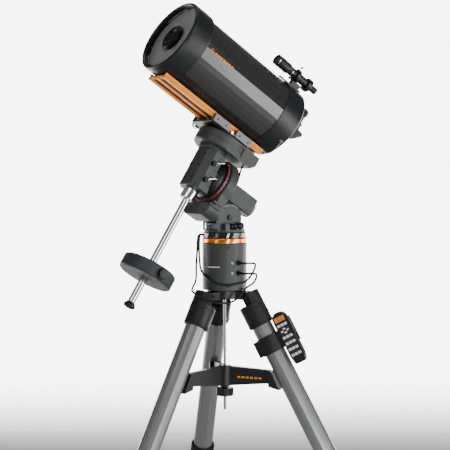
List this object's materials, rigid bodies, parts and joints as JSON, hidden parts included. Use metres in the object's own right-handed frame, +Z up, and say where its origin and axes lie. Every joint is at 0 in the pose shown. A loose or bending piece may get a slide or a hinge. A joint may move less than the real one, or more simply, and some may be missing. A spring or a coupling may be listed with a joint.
{
  "type": "schmidt cassegrain telescope",
  "caption": "Schmidt-Cassegrain telescope on a motorised German equatorial mount with an electronics pier, counterweight, finder, hand control and adjustable tripod.",
  "frame": {"origin": "on the ground, under the middle of the model's box; the pier axis stands at x 0.0336, y 0.0797", "axes": "+Z up; the polar axis lies in the Y-Z plane and points to -Y and up, so -Y is where the telescope looks at rest; +X is the side with the clutch levers and the lead ports"},
  "size_m": [0.9022, 0.8704, 1.7541],
  "materials": {
    "cast_grey": "fine leatherette powder coat",
    "iron_grey": "textured powder coat",
    "black_metal": "satin black anodised",
    "gloss_cap": "polished black",
    "black_plastic": "moulded, slightly textured",
    "rubber_black": "matt rubber",
    "key_white": "silicone keys",
    "tube_grey": "dark satin grey",
    "orange_anodised": "bright orange anodised",
    "red_anodised": "dark red anodised",
    "chrome": "polished",
    "silver_jaw": "light grey satin",
    "leg_steel": "dark brushed steel",
    "rod_steel": "plain steel",
    "clear_glass": "coated optical glass",
    "mirror_glass": "polished aluminised glass"
  },
  "bodies": {
    "base": {"tripod_head": "black_metal", "centre_rod": "rod_steel", "pier_tube": "cast_grey", "trim_ring": "orange_anodised", "pier_cap": "gloss_cap", "lead_outer": "rubber_black", "lead_inner": "rubber_black", "lead_plug_upper": "rubber_black", "lead_plug_lower": "rubber_black"},
    "fork": {"azimuth_fork": "cast_grey", "altitude_axle": "black_metal"},
    "azimuth_bolt": {"azimuth_knob": "black_plastic"},
    "altitude_bolt": {"altitude_screw": "chrome"},
    "head": {"ra_housing": "cast_grey", "ra_worm_housing": "cast_grey"},
    "polar_axis": {"dec_housing": "cast_grey", "dec_motor_box": "cast_grey", "ra_setting_ring": "red_anodised", "shaft_collar": "chrome", "counterweight_shaft": "chrome", "dec_lead": "rubber_black"},
    "lever_upper": {"clutch_lever_upper": "chrome"},
    "lever_lower": {"clutch_lever_lower": "chrome"},
    "weight": {"counterweight": "iron_grey"},
    "weight_knob": {"counterweight_knob": "black_plastic"},
    "shaft_end": {"toe_saver": "black_plastic"},
    "dec_axis": {"saddle": "black_metal"},
    "jaws": {"saddle_jaws": "silver_jaw"},
    "clamp_knob_front": {"saddle_knob_front": "chrome"},
    "clamp_knob_rear": {"saddle_knob_rear": "chrome"},
    "tube": {"dovetail_bar": "orange_anodised", "optical_tube": "tube_grey", "front_cell": "black_metal", "corrector_plate": "clear_glass", "secondary_holder": "black_metal", "rear_cell": "cast_grey", "carry_handle": "rod_steel", "finder_bracket": "black_metal"},
    "focuser": {"focus_knob": "rubber_black"},
    "mirror": {"primary_mirror": "mirror_glass"},
    "diagonal": {"star_diagonal": "black_metal"},
    "ocular": {"eyepiece": "black_metal"},
    "finder": {"finder_scope": "black_metal"},
    "spreader_nut": {"spreader_knob": "black_plastic"},
    "leg_spreader": {"spreader": "black_metal"},
    "control": {"handset": "rubber_black"},
    "keys": {"handset_keypad": "key_white"},
    "leg_1": {"leg_cap_1": "black_plastic", "leg_tube_1": "leg_steel"},
    "lock_1": {"leg_lock_1": "black_plastic"},
    "inner_1": {"leg_inner_1": "rod_steel"},
    "leg_2": {"leg_cap_2": "black_plastic", "leg_tube_2": "leg_steel", "handset_holder": "black_plastic"},
    "lock_2": {"leg_lock_2": "black_plastic"},
    "inner_2": {"leg_inner_2": "rod_steel"},
    "leg_3": {"leg_cap_3": "black_plastic", "leg_tube_3": "leg_steel"},
    "lock_3": {"leg_lock_3": "black_plastic"},
    "inner_3": {"leg_inner_3": "rod_steel"}
  },
  "joints": [
    {"name": "azimuth", "type": "hinge", "parent": "base", "child": "fork", "pos_m": [0.03364, 0.07975, 0.987], "axis": [0, 0, 1], "range_deg": [-8, 8]},
    {"name": "azimuth_knob_turn", "type": "hinge", "parent": "fork", "child": "azimuth_bolt", "pos_m": [0.09384, 0.07975, 1.0087], "axis": [0, 1, 0], "range_deg": [-2400, 2400]},
    {"name": "latitude", "type": "hinge", "parent": "fork", "child": "head", "pos_m": [0.03364, 0.06975, 1.037], "axis": [-1, 0, 0], "range_deg": [-13, 25]},
    {"name": "altitude_screw_travel", "type": "slide", "parent": "fork", "child": "altitude_bolt", "axis": [0, -1, 0], "range_m": [-0.00702, 0.01341]},
    {"name": "right_ascension", "type": "hinge", "parent": "head", "child": "polar_axis", "pos_m": [0.03364, -0.01613, 1.18935], "axis": [0, 0.8387, -0.5446], "range_deg": [-95, 95]},
    {"name": "clutch_upper", "type": "hinge", "parent": "polar_axis", "child": "lever_upper", "pos_m": [0.08864, -0.00097, 1.22005], "axis": [1, 0, 0], "range_deg": [0, 60]},
    {"name": "clutch_lower", "type": "hinge", "parent": "polar_axis", "child": "lever_lower", "pos_m": [0.08864, -0.03474, 1.16805], "axis": [1, 0, 0], "range_deg": [0, 60]},
    {"name": "counterweight_slide", "type": "slide", "parent": "polar_axis", "child": "weight", "axis": [0, 0.5446, 0.8387], "range_m": [-0.088, 0.22]},
    {"name": "counterweight_knob_turn", "type": "hinge", "parent": "weight", "child": "weight_knob", "pos_m": [0.12764, -0.22691, 0.86479], "axis": [1, 0, 0], "range_deg": [-180, 180]},
    {"name": "toe_saver_turn", "type": "hinge", "parent": "polar_axis", "child": "shaft_end", "pos_m": [0.03364, -0.2897, 0.76809], "axis": [0, 0.5446, 0.8387], "range_deg": [-180, 180]},
    {"name": "declination", "type": "hinge", "parent": "polar_axis", "child": "dec_axis", "pos_m": [0.03364, -0.01613, 1.18935], "axis": [0, 0.5446, 0.8387], "range_deg": [-180, 180]},
    {"name": "saddle_knob_front_turn", "type": "hinge", "parent": "dec_axis", "child": "clamp_knob_front", "pos_m": [-0.03266, 0.02613, 1.35173], "axis": [1, 0, 0], "range_deg": [0, 1440.5]},
    {"name": "saddle_knob_rear_turn", "type": "hinge", "parent": "dec_axis", "child": "clamp_knob_rear", "pos_m": [-0.03266, 0.11167, 1.29618], "axis": [1, 0, 0], "range_deg": [0, 1440.5]},
    {"name": "jaw_slide", "type": "slide", "parent": "dec_axis", "child": "jaws", "axis": [1, 0, 0], "range_m": [0, 0.006]},
    {"name": "tube_slide", "type": "slide", "parent": "dec_axis", "child": "tube", "axis": [0, 0.8387, -0.5446], "range_m": [-0.04, 0.04]},
    {"name": "focus_knob_turn", "type": "hinge", "parent": "tube", "child": "focuser", "pos_m": [-0.03136, 0.32273, 1.38066], "axis": [0, 0.8387, -0.5446], "range_deg": [-4681, 4681]},
    {"name": "mirror_travel", "type": "slide", "parent": "tube", "child": "mirror", "axis": [0, 0.8387, -0.5446], "range_m": [-0.00975, 0.00975]},
    {"name": "diagonal_turn", "type": "hinge", "parent": "tube", "child": "diagonal", "pos_m": [0.03364, 0.30639, 1.3555], "axis": [0, 0.8387, -0.5446], "range_deg": [-180, 180]},
    {"name": "eyepiece_lift", "type": "slide", "parent": "diagonal", "child": "ocular", "axis": [0, 0.5446, 0.8387], "range_m": [0, 0.03]},
    {"name": "finder_aim", "type": "hinge", "parent": "tube", "child": "finder", "pos_m": [0.08964, 0.36892, 1.50686], "axis": [1, 0, 0], "range_deg": [-1.5, 1.5]},
    {"name": "leg_1_fold", "type": "hinge", "parent": "base", "child": "leg_1", "pos_m": [0.04457, 0.00201, 0.772], "axis": [-0.9903, -0.1392, 0], "range_deg": [-28, 0]},
    {"name": "leg_1_lock", "type": "hinge", "parent": "leg_1", "child": "lock_1", "pos_m": [0.0903, -0.32342, 0.15394], "axis": [-0.0653, 0.4649, 0.8829], "range_deg": [0, 60]},
    {"name": "leg_1_extend", "type": "slide", "parent": "leg_1", "child": "inner_1", "axis": [0.0653, -0.4649, -0.8829], "range_m": [0, 0.38]},
    {"name": "leg_2_fold", "type": "hinge", "parent": "base", "child": "leg_2", "pos_m": [0.0955, 0.12808, 0.772], "axis": [0.6157, -0.788, 0], "range_deg": [-28, 0]},
    {"name": "leg_2_lock", "type": "hinge", "parent": "leg_2", "child": "lock_2", "pos_m": [0.35446, 0.3304, 0.15394], "axis": [-0.3699, -0.289, 0.8829], "range_deg": [0, 60]},
    {"name": "leg_2_extend", "type": "slide", "parent": "leg_2", "child": "inner_2", "axis": [0.3699, 0.289, -0.8829], "range_m": [0, 0.38]},
    {"name": "leg_3_fold", "type": "hinge", "parent": "base", "child": "leg_3", "pos_m": [-0.03914, 0.10916, 0.772], "axis": [0.3746, 0.9272, 0], "range_deg": [-28, 0]},
    {"name": "leg_3_lock", "type": "hinge", "parent": "leg_3", "child": "lock_3", "pos_m": [-0.34384, 0.23226, 0.15394], "axis": [0.4353, -0.1759, 0.8829], "range_deg": [0, 60]},
    {"name": "leg_3_extend", "type": "slide", "parent": "leg_3", "child": "inner_3", "axis": [-0.4353, 0.1759, -0.8829], "range_m": [0, 0.38]},
    {"name": "spreader_travel", "type": "slide", "parent": "base", "child": "spreader_nut", "axis": [0, 0, 1], "range_m": [-0.3667, 0]},
    {"name": "spreader_turn", "type": "hinge", "parent": "spreader_nut", "child": "leg_spreader", "pos_m": [0.03364, 0.07975, 0.458], "axis": [0, 0, 1], "range_deg": [-60.1, 0]},
    {"name": "handset_lift", "type": "slide", "parent": "leg_2", "child": "control", "axis": [-0.3699, -0.289, 0.8829], "range_m": [0, 0.1]},
    {"name": "key_press", "type": "slide", "parent": "control", "child": "keys", "axis": [-0.6157, 0.788, 0], "range_m": [0, 0.0012], "stiffness_N_per_m": 900}
  ],
  "couplings": [
    {"joint": "azimuth_knob_turn", "follows": "azimuth", "ratio": 300},
    {"joint": "altitude_screw_travel", "follows": "latitude", "m_per_rad": 0.0305},
    {"joint": "saddle_knob_front_turn", "follows": "jaw_slide", "rad_per_m": 4188.8},
    {"joint": "saddle_knob_rear_turn", "follows": "jaw_slide", "rad_per_m": 4188.8},
    {"joint": "focus_knob_turn", "follows": "mirror_travel", "rad_per_m": 8377.6},
    {"joint": "leg_2_fold", "follows": "leg_1_fold", "ratio": 1},
    {"joint": "leg_3_fold", "follows": "leg_1_fold", "ratio": 1},
    {"joint": "spreader_travel", "follows": "leg_1_fold", "m_per_rad": 0.75},
    {"joint": "spreader_turn", "follows": "leg_1_fold", "ratio": 2.1429}
  ]
}
